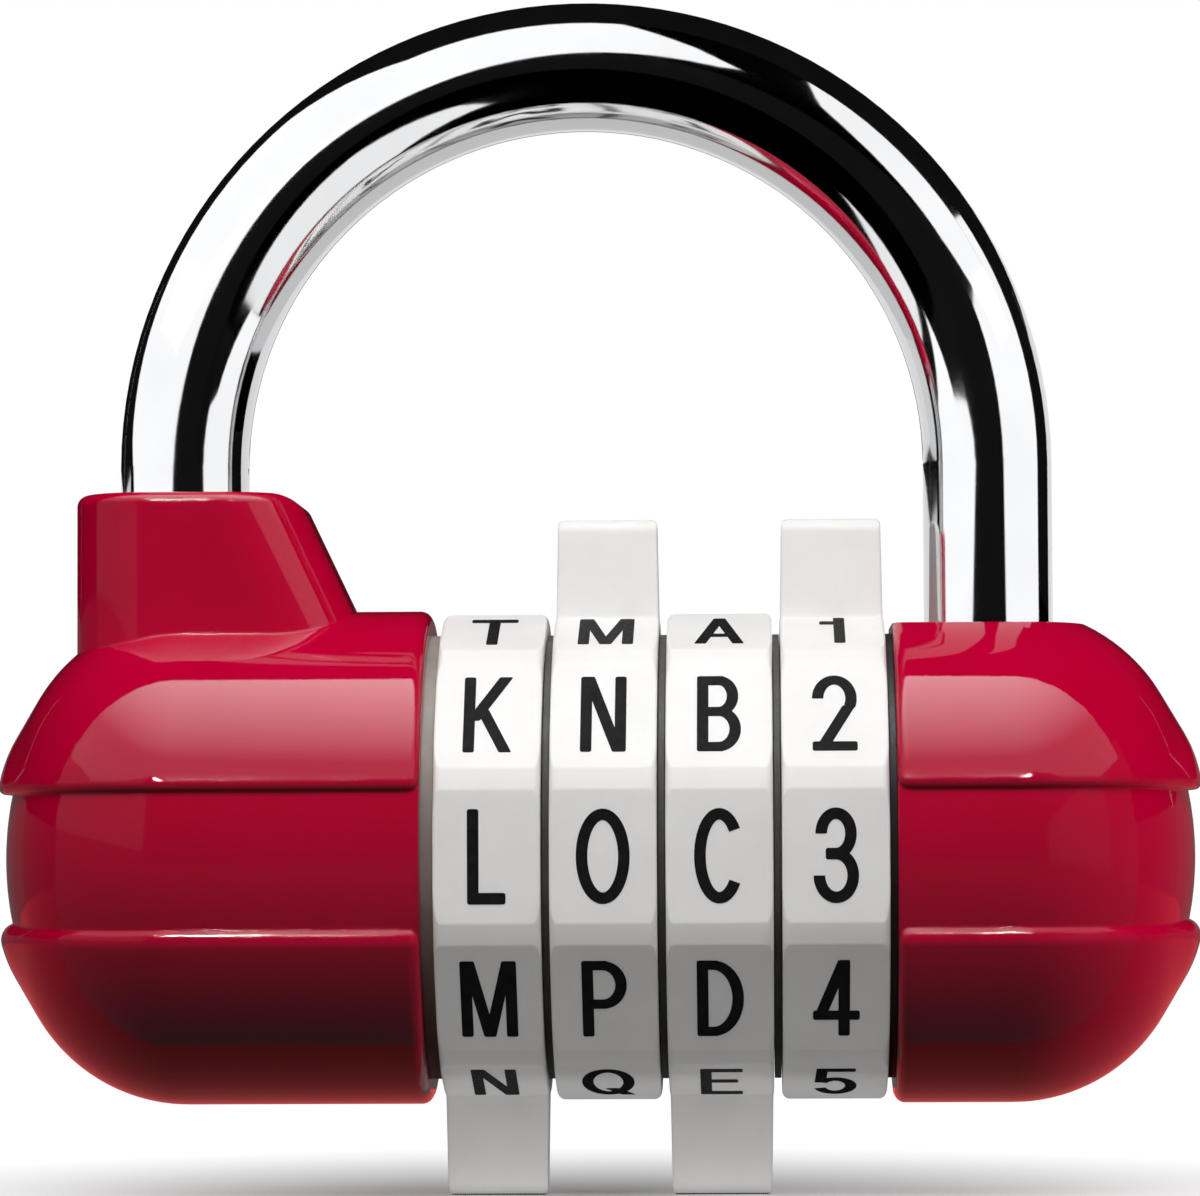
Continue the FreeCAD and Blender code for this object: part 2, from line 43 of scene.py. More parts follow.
# the dial axis and the dials' facets, read from the CAD pieces
tubeLow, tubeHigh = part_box("core_tube")
axisZ = (tubeLow.z + tubeHigh.z) / 2
dialNames = [name for name in sorted(nodes) if name.startswith("dial_")]
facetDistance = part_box(dialNames[0])[1].y  # axis to the middle of a facet
floorZ = min(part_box(name)[0].z for name in dialNames)  # the lowest fins touch the floor
print("frame: axis at %.2f mm, facets %.2f mm out" % (axisZ / mm, facetDistance / mm))


# Helpers for materials

def newMaterial(name):
    mat = bpy.data.materials.new(name)
    mat.use_nodes = True
    tree = mat.node_tree
    return mat, tree, tree.nodes["Principled BSDF"]


def addNode(tree, kind, **settings):
    node = tree.nodes.new(kind)
    for key, value in settings.items():
        if key in node.inputs:
            node.inputs[key].default_value = value
        else:
            setattr(node, key, value)
    return node


def place(tree, stretch=(1, 1, 1)):
    # object coordinates in metres, so that a pattern keeps its real size
    where = addNode(tree, "ShaderNodeTexCoord")
    mapping = addNode(tree, "ShaderNodeMapping", Scale=stretch)
    tree.links.new(where.outputs["Object"], mapping.inputs["Vector"])
    return mapping.outputs["Vector"]


def noise(tree, vector, scale, detail=3.0, rough=0.55):
    tex = addNode(tree, "ShaderNodeTexNoise", Scale=scale, Detail=detail, Roughness=rough)
    tree.links.new(vector, tex.inputs["Vector"])
    return tex.outputs["Fac"]


noiseLow, noiseHigh = 0.3, 0.7  # the part of a noise value's range that shows


def ramp(tree, value, low, high, fromLow=noiseLow, fromHigh=noiseHigh):
    # spreads a value, as a rule a noise, between two numbers
    node = addNode(tree, "ShaderNodeMapRange")
    node.inputs["From Min"].default_value = fromLow
    node.inputs["From Max"].default_value = fromHigh
    node.inputs["To Min"].default_value = low
    node.inputs["To Max"].default_value = high
    tree.links.new(value, node.inputs["Value"])
    return node.outputs["Result"]


def twoTone(tree, value, first, second):
    node = addNode(tree, "ShaderNodeValToRGB")
    stops = node.color_ramp.elements
    stops[0].position, stops[1].position = noiseLow, noiseHigh
    stops[0].color, stops[1].color = (*first, 1), (*second, 1)
    tree.links.new(value, node.inputs["Fac"])
    return node.outputs["Color"]


def bump(tree, height, strength, distance, normal=None):
    node = addNode(tree, "ShaderNodeBump", Strength=strength, Distance=distance)
    tree.links.new(height, node.inputs["Height"])
    if normal is not None:
        tree.links.new(normal, node.inputs["Normal"])
    return node.outputs["Normal"]


def softEdge(tree, radius):
    # rounds the shading of moulded and cast edges
    node = addNode(tree, "ShaderNodeBevel", Radius=radius)
    node.samples = 6
    return node.outputs["Normal"]


# Finishes

enamel = {
    "deep": (0.49, 0.0, 0.028), "bright": (0.54, 0.0, 0.036),
    "undercoatRoughness": 0.42, "coatRoughness": 0.035, "coatIor": 1.38,
    "cloud": 120, "speckle": 2600, "peel": 750,  # noise scales, in waves a metre
    "peelDepth": 0.02 * mm, "edge": 0.25 * mm,
}


def redEnamel():
    mat, tree, skin = newMaterial("redEnamel")
    spot = place(tree)
    cloud = noise(tree, spot, enamel["cloud"], 4)
    tree.links.new(twoTone(tree, cloud, enamel["deep"], enamel["bright"]), skin.inputs["Base Color"])
    speckle = noise(tree, spot, enamel["speckle"], 2)
    under = enamel["undercoatRoughness"]
    tree.links.new(ramp(tree, speckle, under - 0.05, under + 0.05), skin.inputs["Roughness"])
    rounded = softEdge(tree, enamel["edge"])
    peel = noise(tree, spot, enamel["peel"], 2)
    tree.links.new(bump(tree, speckle, 0.25, 0.01 * mm, rounded), skin.inputs["Normal"])
    tree.links.new(bump(tree, peel, 0.12, enamel["peelDepth"], rounded), skin.inputs["Coat Normal"])
    skin.inputs["Specular IOR Level"].default_value = 0.0  # the coat carries the shine
    skin.inputs["Coat Weight"].default_value = 1.0
    skin.inputs["Coat Roughness"].default_value = enamel["coatRoughness"]
    skin.inputs["Coat IOR"].default_value = enamel["coatIor"]
    return mat


chrome = {
    "plate": (0.80, 0.805, 0.815), "shade": (0.72, 0.725, 0.74),
    "polish": 0.035, "haze": 0.075,  # roughness, lowest and highest
    "cloud": 90, "smear": 420, "lines": 1800, "edge": 0.15 * mm,
}


def chromePlate():
    mat, tree, skin = newMaterial("chromePlate")
    spot = place(tree)
    cloud = noise(tree, spot, chrome["cloud"], 4)
    tree.links.new(twoTone(tree, cloud, chrome["plate"], chrome["shade"]), skin.inputs["Base Color"])
    smear = noise(tree, spot, chrome["smear"], 5)
    tree.links.new(ramp(tree, smear, chrome["polish"], chrome["haze"]), skin.inputs["Roughness"])
    lines = noise(tree, place(tree, (1, 1, 0.12)), chrome["lines"], 3)  # faint marks along the legs
    rounded = softEdge(tree, chrome["edge"])
    tree.links.new(bump(tree, lines, 0.05, 0.004 * mm, rounded), skin.inputs["Normal"])
    skin.inputs["Metallic"].default_value = 1.0
    return mat


dialPlastic = {
    "ivory": (0.80, 0.785, 0.765), "cool": (0.84, 0.83, 0.815),
    "roughness": 0.34, "shine": 0.1,
    "glow": 0.12, "glowDepth": 0.6 * mm,  # how much light passes under the skin, and how far
    "mottle": 260, "gloss": 900, "grain": 3200, "edge": 0.24 * mm,
}


def ivoryPlastic():
    mat, tree, skin = newMaterial("ivoryPlastic")
    spot = place(tree)
    mottle = noise(tree, spot, dialPlastic["mottle"], 4)
    tone = twoTone(tree, mottle, dialPlastic["ivory"], dialPlastic["cool"])
    tree.links.new(tone, skin.inputs["Base Color"])
    gloss = noise(tree, spot, dialPlastic["gloss"], 3)
    rough = dialPlastic["roughness"]
    tree.links.new(ramp(tree, gloss, rough - 0.06, rough + 0.08), skin.inputs["Roughness"])
    grain = noise(tree, spot, dialPlastic["grain"], 3)
    rounded = softEdge(tree, dialPlastic["edge"])
    tree.links.new(bump(tree, grain, 0.10, 0.012 * mm, rounded), skin.inputs["Normal"])
    skin.inputs["Subsurface Weight"].default_value = dialPlastic["glow"]
    skin.inputs["Subsurface Radius"].default_value = (1.0, 0.8, 0.6)
    skin.inputs["Subsurface Scale"].default_value = dialPlastic["glowDepth"]
    skin.inputs["Specular IOR Level"].default_value = dialPlastic["shine"]
    return mat


inkPaint = {
    "black": (0.007, 0.007, 0.008), "worn": (0.014, 0.013, 0.013),
    "smooth": 0.38, "rough": 0.6, "shine": 0.03, "wear": 1500, "grain": 5200,
}


def characterInk():
    mat, tree, skin = newMaterial("characterInk")
    spot = place(tree)
    wear = noise(tree, spot, inkPaint["wear"], 4)
    tree.links.new(twoTone(tree, wear, inkPaint["black"], inkPaint["worn"]), skin.inputs["Base Color"])
    grain = noise(tree, spot, inkPaint["grain"], 2)
    tree.links.new(ramp(tree, grain, inkPaint["smooth"], inkPaint["rough"]), skin.inputs["Roughness"])
    tree.links.new(bump(tree, grain, 0.3, 0.01 * mm), skin.inputs["Normal"])
    skin.inputs["Specular IOR Level"].default_value = inkPaint["shine"]
    return mat


# washers and plates: two tones and a roughness each; the washers between the dials are a darker copy with
# the shade of their narrow gaps painted in, the left plate a lighter, lit copy of the same plastic
plastics = {
    # painted shade: darkened to stand for the shade in the narrow gaps between the dials
    "shadedWasherPlastic": ((0.075, 0.07, 0.062), (0.105, 0.10, 0.09), 0.6),
    # the same plastic, lighter, as it is lit in its open gap beside the cap
    "litWasherPlastic": ((0.30, 0.29, 0.26), (0.36, 0.35, 0.31), 0.55),
    "blackPlate": ((0.010, 0.010, 0.011), (0.022, 0.021, 0.021), 0.5),
}
plasticGrain = {"mottle": 700, "grain": 4000, "edge": 0.08 * mm}


def mouldedPlastic(name):
    first, second, roughness = plastics[name]
    mat, tree, skin = newMaterial(name)
    spot = place(tree)
    mottle = noise(tree, spot, plasticGrain["mottle"], 4)
    tree.links.new(twoTone(tree, mottle, first, second), skin.inputs["Base Color"])
    grain = noise(tree, spot, plasticGrain["grain"], 3)
    tree.links.new(ramp(tree, grain, roughness - 0.08, roughness + 0.08), skin.inputs["Roughness"])
    rounded = softEdge(tree, plasticGrain["edge"])
    tree.links.new(bump(tree, grain, 0.25, 0.012 * mm, rounded), skin.inputs["Normal"])
    return mat


# the lock's inner metals: two tones, a roughness and the way the tool marks run
roundMarks = (1, 0.05, 0.05)  # round the dial axis
alongMarks = (0.05, 1, 1)  # along it
metals = {
    "hubBrass": ((0.70, 0.50, 0.22), (0.78, 0.58, 0.28), 0.3, roundMarks),
    "spindleBrass": ((0.68, 0.49, 0.22), (0.76, 0.57, 0.28), 0.26, roundMarks),
    "tubeSteel": ((0.52, 0.52, 0.51), (0.62, 0.62, 0.62), 0.34, alongMarks),
    "pinSteel": ((0.42, 0.42, 0.43), (0.52, 0.52, 0.53), 0.28, alongMarks),
    "springSteel": ((0.38, 0.38, 0.40), (0.48, 0.48, 0.50), 0.3, roundMarks),
}
metalGrain = {"cloud": 300, "marks": 2400, "edge": 0.06 * mm}


def turnedMetal(name):
    first, second, roughness, stretch = metals[name]
    mat, tree, skin = newMaterial(name)
    marks = noise(tree, place(tree, stretch), metalGrain["marks"], 3)
    cloud = noise(tree, place(tree), metalGrain["cloud"], 4)
    tree.links.new(twoTone(tree, cloud, first, second), skin.inputs["Base Color"])
    tree.links.new(ramp(tree, marks, roughness - 0.08, roughness + 0.1), skin.inputs["Roughness"])
    rounded = softEdge(tree, metalGrain["edge"])
    tree.links.new(bump(tree, marks, 0.2, 0.006 * mm, rounded), skin.inputs["Normal"])
    skin.inputs["Metallic"].default_value = 1.0
    return mat


finishes = {
    "red_enamel": redEnamel(),
    "chromed_bar": chromePlate(),
    "dial_plastic": ivoryPlastic(),
    "washer_plastic": mouldedPlastic("shadedWasherPlastic"),
    "black_plate": mouldedPlastic("blackPlate"),
    "hub_brass": turnedMetal("hubBrass"),
    "spindle_brass": turnedMetal("spindleBrass"),
    "tube_steel": turnedMetal("tubeSteel"),
    "pin_steel": turnedMetal("pinSteel"),
    "spring_steel": turnedMetal("springSteel"),
}
litWasher = mouldedPlastic("litWasherPlastic")
for part in frame["record"]["subparts"]:
    holder = nodes[part["node"]]
    # the left plate takes the lit copy, the washers between the dials the copy with painted gap shade
    finish = litWasher if part["node"] == "left_bearing_plate" else finishes[part["material_slot"]]
    if not holder.material_slots:
        holder.data.materials.append(finish)
    for slot in holder.material_slots:
        slot.material = finish
print("finishes: %d on %d pieces" % (len(finishes), len(nodes)))


# Characters on the dials

lettering = {
    "rings": ["TKLMNOPQRS", "MNOPQRSTUV", "ABCDEFGHIJ", "1234567890"],  # top facet first, then forwards
    "topFacet": 72, "step": 36,  # degrees above the front, and between facets
    "height": 4.95, "stroke": 0.60, "corner": 0.14, "slantCorner": 0.098,
    "proud": 0.018, "layer": 0.0015, "sunk": 0.03,
    "arcStep": 7, "arcLeast": 8,  # degrees in each piece of an arc, and its fewest pieces
}

# Each glyph is its width in mm and its strokes. Places run from 0 to 1 across and up the
# middle of the strokes. L is a straight stroke, S one cut level at both ends, and
# A an arc: centre, radii, first and last angle.
glyphs = {
    "A": (2.65, "S 0 0 .5 1|S 1 0 .5 1|L .19 .3 .81 .3"),
    "B": (2.30, "L 0 0 0 1|L 0 1 .5 1|L 0 .53 .5 .53|L 0 0 .5 0|"
                "A .5 .765 .42 .235 -90 90|A .5 .265 .5 .265 -90 90"),
    "C": (2.62, "A .5 .5 .5 .5 38 322"),
    "D": (2.45, "L 0 0 0 1|L 0 1 .3 1|L 0 0 .3 0|A .3 .5 .7 .5 -90 90"),
    "E": (2.25, "L 0 0 0 1|L 0 1 1 1|L 0 .53 .85 .53|L 0 0 1 0"),
    "F": (2.20, "L 0 0 0 1|L 0 1 1 1|L 0 .53 .85 .53"),
    "G": (2.70, "A .5 .5 .5 .5 38 360|L .55 .5 1 .5|L 1 .5 1 0"),
    "H": (2.40, "L 0 0 0 1|L 1 0 1 1|L 0 .52 1 .52"),
    "I": (0.58, "L 0 0 0 1"),
    "J": (2.00, "L 1 1 1 .24|A .5 .24 .5 .24 180 360"),
    "K": (2.55, "L 0 0 0 1|S .08 .42 1 1|S .34 .57 1 0"),
    "L": (2.00, "L 0 0 0 1|L 0 0 1 0"),
    "M": (2.95, "L 0 0 0 1|L 1 0 1 1|S .06 1 .5 0|S .94 1 .5 0"),
    "N": (2.40, "L 0 0 0 1|L 1 0 1 1|S .05 1 .95 0"),
    "O": (2.80, "A .5 .5 .5 .5 0 360"),
    "P": (2.35, "L 0 0 0 1|L 0 1 .45 1|L 0 .42 .45 .42|A .45 .71 .55 .29 -90 90"),
    "Q": (2.80, "A .5 .5 .5 .5 0 360|S .58 .25 1 0"),
    "R": (2.40, "L 0 0 0 1|L 0 1 .45 1|L 0 .45 .45 .45|A .45 .725 .55 .275 -90 90|S .45 .45 1 0"),
    "S": (2.40, "A .5 .76 .5 .24 20 270|A .5 .26 .5 .26 -160 90"),
    "T": (2.50, "L 0 1 1 1|L .5 0 .5 1"),
    "U": (2.45, "L 0 1 0 .3|L 1 1 1 .3|A .5 .3 .5 .3 180 360"),
    "V": (2.60, "S 0 1 .5 0|S 1 1 .5 0"),
    "0": (2.40, "A .5 .5 .5 .5 0 360"),
    "1": (1.35, "L 1 0 1 1|L 0 .84 1 .84"),
    "2": (2.35, "A .5 .72 .5 .28 -25 180|S .96 .6 .04 0|L 0 0 1 0"),
    "3": (2.35, "A .5 .76 .44 .24 -90 180|A .5 .26 .5 .26 -180 90|L .36 .52 .5 .52"),
    "4": (2.45, "L .72 0 .72 1|S .72 1 0 .22|L 0 .24 1 .24"),
    "5": (2.30, "L .08 1 .95 1|L .08 1 .04 .52|A .5 .3 .5 .3 -160 150"),
    "6": (2.35, "A .5 .3 .5 .3 0 360|A .72 .42 .72 .58 100 190"),
    "7": (2.25, "L 0 1 1 1|S 1 1 .32 0"),
    "8": (2.35, "A .5 .76 .42 .24 0 360|A .5 .26 .5 .26 0 360"),
    "9": (2.35, "A .5 .7 .5 .3 0 360|A .28 .58 .72 .58 -80 10"),
}


def roundedOutline(points, radius):
    # trims each corner of a flat outline with a short arc
    outline = []
    for i, corner in enumerate(points):
        back, ahead = points[i - 1] - corner, points[(i + 1) % len(points)] - corner
        cut = min(radius, back.length / 2, ahead.length / 2)
        start, end = corner + back.normalized() * cut, corner + ahead.normalized() * cut
        for t in (0, 0.25, 0.5, 0.75, 1):
            outline.append(start * (1 - t) ** 2 + corner * 2 * t * (1 - t) + end * t * t)
    return outline


def strokeOutline(kind, values, width):
    height, stroke = lettering["height"], lettering["stroke"]

    def at(x, y):
        return Vector(((x - 0.5) * (width - stroke), (y - 0.5) * (height - stroke)))

    half = stroke / 2
    if kind == "L":
        start, end = at(values[0], values[1]), at(values[2], values[3])
        along = (end - start).normalized()
        side = Vector((-along.y, along.x)) * half
        start, end = start - along * half, end + along * half
        around = [start - side, end - side, end + side, start + side]
        return [roundedOutline(around, lettering["corner"])]
    if kind == "S":
        # reach is half its level width, found in a few rounds so that it stays inside the glyph
        x1, y1, x2, y2 = values
        rise = (y2 - y1) * height
        reach = half
        for _ in range(3):
            run = (x2 - x1) * (width - 2 * reach)
            reach = half * math.hypot(run, rise) / abs(rise)
        start = Vector(((x1 - 0.5) * (width - 2 * reach), (y1 - 0.5) * height))
        end = start + Vector((run, rise))
        side = Vector((reach, 0))
        around = [start - side, end - side, end + side, start + side]
        return [roundedOutline(around, lettering["slantCorner"])]
    centre = at(values[0], values[1])
    radiusX, radiusY = values[2] * (width - stroke), values[3] * (height - stroke)
    first, last = math.radians(values[4]), math.radians(values[5])
    count = max(lettering["arcLeast"], int(abs(values[5] - values[4]) / lettering["arcStep"]))
    inner, outer = [], []
    for i in range(count + 1):
        a = first + (last - first) * i / count
        point = centre + Vector((radiusX * math.cos(a), radiusY * math.sin(a)))
        outward = Vector((radiusY * math.cos(a), radiusX * math.sin(a))).normalized() * half
        inner.append(point - outward)
        outer.append(point + outward)
    return [[inner[i], outer[i], outer[i + 1], inner[i + 1]] for i in range(count)]


def dialCharacters(number, ring):
    low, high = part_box("dial_%d" % number)
    middle = Vector(((low.x + high.x) / 2, 0, axisZ))
    mesh = bmesh.new()
    for k, letter in enumerate(ring):
        tilt = math.radians(lettering["topFacet"] - k * lettering["step"])
        outward = Vector((0, -math.cos(tilt), math.sin(tilt)))
        upward = Vector((0, math.sin(tilt), math.cos(tilt)))
        width, strokes = glyphs[letter]
        for order, stroke in enumerate(strokes.split("|")):
            kind, *values = stroke.split()
            # crossing strokes never share one plane
            level = lettering["proud"] + lettering["layer"] * order
            for outline in strokeOutline(kind, [float(v) for v in values], width):
                top, foot = [], []
                for p in outline:
                    base = middle + Vector((p.x * mm, 0, 0)) + upward * (p.y * mm)
                    top.append(mesh.verts.new(base + outward * (facetDistance + level * mm)))
                    foot.append(mesh.verts.new(base + outward * (facetDistance - lettering["sunk"] * mm)))
                mesh.faces.new(top)
                for i in range(len(outline)):
                    j = (i + 1) % len(outline)
                    mesh.faces.new((foot[i], foot[j], top[j], top[i]))
    bmesh.ops.recalc_face_normals(mesh, faces=mesh.faces)
    data = bpy.data.meshes.new("dial_%d_characters" % number)
    mesh.to_mesh(data)
    mesh.free()
    piece = bpy.data.objects.new(data.name, data)
    bpy.context.scene.collection.objects.link(piece)
    data.materials.append(ink)
    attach(piece, "dial_%d" % number)
    return piece


ink = characterInk()
characterPieces = [dialCharacters(number, ring) for number, ring in enumerate(lettering["rings"], 1)]
print("characters: %d faces" % sum(len(piece.data.polygons) for piece in characterPieces))


# Studio

# Places are mm from the dial axis, midway between the shackle's legs.
studio = {
    # soft light from above and behind
    "worldFill": 0.36, "fillFrom": (0, 0.5, 1), "fillStart": -0.05, "fillFull": 0.45,
    "paper": 0.97, "glowFrom": 2, "glowTo": 46,  # floor: paper by the lock, backdrop white further out
    "floorReach": 3000,
    "topLight": {"x": 0, "y": -75, "z": 88, "wide": 160, "deep": 70, "level": 2.8},
    "bounceCard": {"x": (-34, 36), "y": (-75, 10), "lift": 0.05, "level": 0.27},
    "capBounce": {"x": (-34, 36), "y": (-12, 3), "lift": 0.6, "level": 0.02},
    "dialLight": {"x": 4, "y": -50, "z": 38, "wide": 60, "deep": 14, "level": 1.45},
    "finLight": {"x": 4, "y": -8, "lift": 1.7, "wide": 60, "deep": 2, "level": 1.85, "tilt": 65},
    "sideLights": {"left": (-112, 3.0), "right": (112, 11.0), "y": -15, "z": -8, "wide": 60, "high": 16},
    # the roof card is brightest straight above the lock
    "roof": {"low": 1.3, "high": 9.0, "fadeFrom": 0.66, "colour": (0.91, 0.965, 1.0)},
    # the paper behind the caps is red with their own light
    "warm": {"level": 0.72, "colour": (1.0, 0.15, 0.15)},
}

# Cards seen only in reflections. Each has a level, or the name of its look in studio, then who
# sees it and its rows of two corners (x, y, z). The body's cards make a dim room round it. The
# shackle's are sheets of white paper that let the light of the others through, and its black
# bands are the gaps between them. The small glow and glint cards light the lips of the caps.
cards = {
    "roof": ("roof", "body", [
        (-144, -103, 77), (-144, -9, 77), (20, -103, 77), (20, -8, 77),
        (144, -103, 77), (144, -23, 77),
    ]),
    "trough": (0.18, "body", [
        (-145, -330, 20), (-145, -8, 20), (-145, -330, -17.8), (-145, -8, -17.8),
        (145, -330, -17.8), (145, -8, -17.8), (145, -330, 20), (145, -8, 20),
    ]),
    "backTrough": ("warm", "caps", [
        (-145, -8, -17.8), (-145, 120, -17.8), (145, -8, -17.8), (145, 120, -17.8),
    ]),
    "backLeft": (0.08, "body", [
        (-145, -8, -17.8), (-145, 120, -17.8), (-145, -8, 20), (-145, 120, 20),
    ]),
    "backRight": (0.08, "body", [
        (145, -8, 20), (145, 120, 20), (145, -8, -17.8), (145, 120, -17.8),
    ]),
    "leftRoom": (0.4, "body", [
        (-145, -330, 20), (-145, -5, 20), (-145, -330, 260), (-145, -5, 260),
    ]),
    "rightRoom": (0.14, "body", [
        (145, -330, 20), (145, -10, 20), (145, -330, 260), (145, -10, 260),
    ]),
    "rightPatch": (0.42, "body", [
        (143, -330, -17), (143, -62, -17), (143, -330, 88), (143, -62, 88),
    ]),
    "cameraSide": (0.12, "body", [
        (-145, -330, -18), (145, -330, -18), (-145, -330, 260), (145, -330, 260),
    ]),
    "backLow": (0.1, "body", [
        (-145, 120, -18), (145, 120, -18), (-145, 120, 20), (145, 120, 20),
    ]),
    "backHigh": (0.005, "all", [
        (-145, 120, 20), (145, 120, 20), (-145, 120, 96), (145, 120, 96),
    ]),
    "arch": (0.005, "all", [
        (-146, -5, 20), (-146, 120, 20), (-146, -40, 96), (-146, 120, 96),
        (146, -40, 96), (146, 120, 96), (146, -10, 20), (146, 120, 20),
    ]),
    "leftPaper": (1.26, "shackle", [
        (-100, 43, 76), (-100, 43, 77), (-100, 20, 33), (-100, 20, 77),
        (-100, 0, 18), (-100, 0, 77), (-100, -80, -9), (-100, -80, 77),
        (-100, -98, 16), (-100, -98, 77), (-128, -250, 24), (-128, -250, 160),
        (-78, -329, 62), (-78, -329, 170),
    ]),
    "leftGlow": (100.0, "caps", [
        (-50, -109, 77), (-18, -109, 77), (-50, -105, 77), (-18, -105, 77),
    ]),
    "leftGlint": (460.0, "caps", [
        (-37, -109, 76.8), (-28, -109, 76.8), (-37, -105, 76.8), (-28, -105, 76.8),
    ]),
    "rightGlow": (100.0, "caps", [
        (16, -109, 77), (42, -109, 77), (16, -105, 77), (42, -105, 77),
    ]),
    "rightGlint": (460.0, "caps", [
        (26.5, -109, 76.8), (34, -109, 76.8), (26.5, -105, 76.8), (34, -105, 76.8),
    ]),
    "dimPaper": (0.007, "shackle", [
        (-143, -12, -17), (-143, -12, 250), (-143, -327, -17), (-143, -327, 250),
        (143, -327, -17), (143, -327, 250), (143, -12, -17), (143, -12, 250),
    ]),
    "frontRoofPaper": (1.26, "shackle", [
        (-144, -167, 76.6), (-22, -167, 76.6), (-144, -103, 76.6), (-4, -103, 76.6),
        (-144, -74, 76.6), (9, -74, 76.6), (-144, -60, 76.6), (15, -60, 76.6),
        (-144, -45, 76.6), (19, -45, 76.6), (-144, -27, 76.6), (13, -27, 76.6),
        (-144, -9, 76.6), (4, -9, 76.6),
    ]),
    "rightRoofPaper": (1.22, "shackle", [
        (72, -103, 76.6), (144, -103, 76.6), (50, -78, 76.6), (144, -78, 76.6),
        (40, -60, 76.6), (144, -60, 76.6), (33, -40, 76.6), (144, -40, 76.6),
        (30, -10, 76.6), (144, -23, 76.6),
    ]),
    "leftRoofPaper": (1.26, "shackle", [
        (-100, -9, 76.6), (-24, -9, 76.6), (-100, 43, 76.6), (-46, 22, 76.6),
    ]),
    "leftLowPaper": (1.05, "shackle", [
        (-48, -60, -17.4), (-100, -64, -14), (-60, -33, -17.4), (-100, -33, -7),
        (-78, -7, -17.4), (-100, -7, -2),
    ]),
    "rightPaper": (1.22, "shackle", [
        (100, 10, -17), (100, 10, 110), (100, -66, -17), (100, -66, 110),
        (100, -98, 12), (100, -98, 77), (100, -138, 18), (100, -138, 77),
        (100, -165, 44), (100, -165, 77),
    ]),
    "rightLowPaper": (1.05, "shackle", [
        (32, -140, -17.4), (100, -140, -17.4), (13, -84, -17.4), (100, -84, -17.4),
        (9, -50, -17.4), (100, -50, -17.4), (24, -22, -17.4), (100, -22, -17.4),
    ]),
    "backPaper": (0.85, "shackle", [
        (-144, 118, -17), (-144, 118, 30), (20, 118, -17), (20, 118, 30),
        (22, 118, -17), (22, 118, 74), (144, 118, -17), (144, 118, 74),
    ]),
    "backLeftPaper": (0.75, "shackle", [
        (-143, 40, -17), (-143, 118, -17), (-143, 40, 30), (-143, 118, 30),
    ]),
    "backFloorPaper": (0.65, "shackle", [
        (-144, 12, -17.4), (144, 12, -17.4), (-144, 118, -17.4), (144, 118, -17.4),
    ]),
}


def toRow(x, y, z):
    return Vector((x * mm, y * mm, axisZ + z * mm))


def newObject(name, points, quads, mat):
    data = bpy.data.meshes.new(name)
    data.from_pydata(points, [], quads)
    data.materials.append(mat)
    obj = bpy.data.objects.new(name, data)
    bpy.context.scene.collection.objects.link(obj)
    return obj


def emptyMaterial(name):
    mat = bpy.data.materials.new(name)
    mat.use_nodes = True
    mat.node_tree.nodes.clear()
    return mat, mat.node_tree, addNode(mat.node_tree, "ShaderNodeOutputMaterial")


def cardMaterial(level, seeThrough):
    mat, tree, out = emptyMaterial("cardGlow")
    glow = addNode(tree, "ShaderNodeEmission", Color=(1, 1, 1, 1))
    if level == "roof":
        r = studio["roof"]
        glow.inputs["Color"].default_value = (*r["colour"], 1)
        where = addNode(tree, "ShaderNodeTexCoord")
        direction = addNode(tree, "ShaderNodeVectorMath", operation="NORMALIZE")
        tree.links.new(where.outputs["Object"], direction.inputs[0])
        split = addNode(tree, "ShaderNodeSeparateXYZ")
        tree.links.new(direction.outputs["Vector"], split.inputs["Vector"])
        strength = ramp(tree, split.outputs["Z"], r["low"], r["high"], r["fadeFrom"], 1.0)
        tree.links.new(strength, glow.inputs["Strength"])
    elif level == "warm":
        glow.inputs["Color"].default_value = (*studio["warm"]["colour"], 1)
        glow.inputs["Strength"].default_value = studio["warm"]["level"]
    else:
        glow.inputs["Strength"].default_value = level
    if seeThrough:
        # light from behind the card is added to its own
        clear = addNode(tree, "ShaderNodeBsdfTransparent")
        both = addNode(tree, "ShaderNodeAddShader")
        tree.links.new(glow.outputs[0], both.inputs[0])
        tree.links.new(clear.outputs[0], both.inputs[1])
        tree.links.new(both.outputs[0], out.inputs["Surface"])
    else:
        tree.links.new(glow.outputs[0], out.inputs["Surface"])
    return mat


def collectionOf(name, objects):
    group = bpy.data.collections.new(name)
    for obj in objects:
        group.objects.link(obj)
    return group


def buildCards():
    receivers = {
        "shackle": collectionOf("seenByShackle", [nodes["shackle"]]),
        "caps": collectionOf("seenByCaps", [nodes["left_housing"], nodes["right_housing"]]),
        "body": collectionOf("seenByBody", [nodes[n] for n in nodes if n != "shackle"] + characterPieces),
    }
    for name, (level, seenBy, corners) in cards.items():
        points = [Vector(corner) * mm for corner in corners]
        quads = [(i, i + 1, i + 3, i + 2) for i in range(0, len(points) - 2, 2)]
        obj = newObject(name, points, quads, cardMaterial(level, seenBy == "shackle"))
        obj.location = toRow(0, 0, 0)
        obj.visible_camera = False
        obj.visible_diffuse = False
        obj.visible_shadow = False
        obj.visible_transmission = False
        if seenBy in receivers:
            obj.light_linking.receiver_collection = receivers[seenBy]


def areaLamp(name, spot, wide, deep, level):
    lamp = bpy.data.lights.new(name, "AREA")
    lamp.shape = "RECTANGLE"
    lamp.size, lamp.size_y = wide * mm, deep * mm
    lamp.energy = 4 * level * lamp.size * lamp.size_y  # level is the brightness, whatever the size
    obj = bpy.data.objects.new(name, lamp)
    obj.location = spot
    bpy.context.scene.collection.objects.link(obj)
    obj.visible_camera = False
    obj.visible_glossy = False  # the cards stand for it in reflections
    return obj


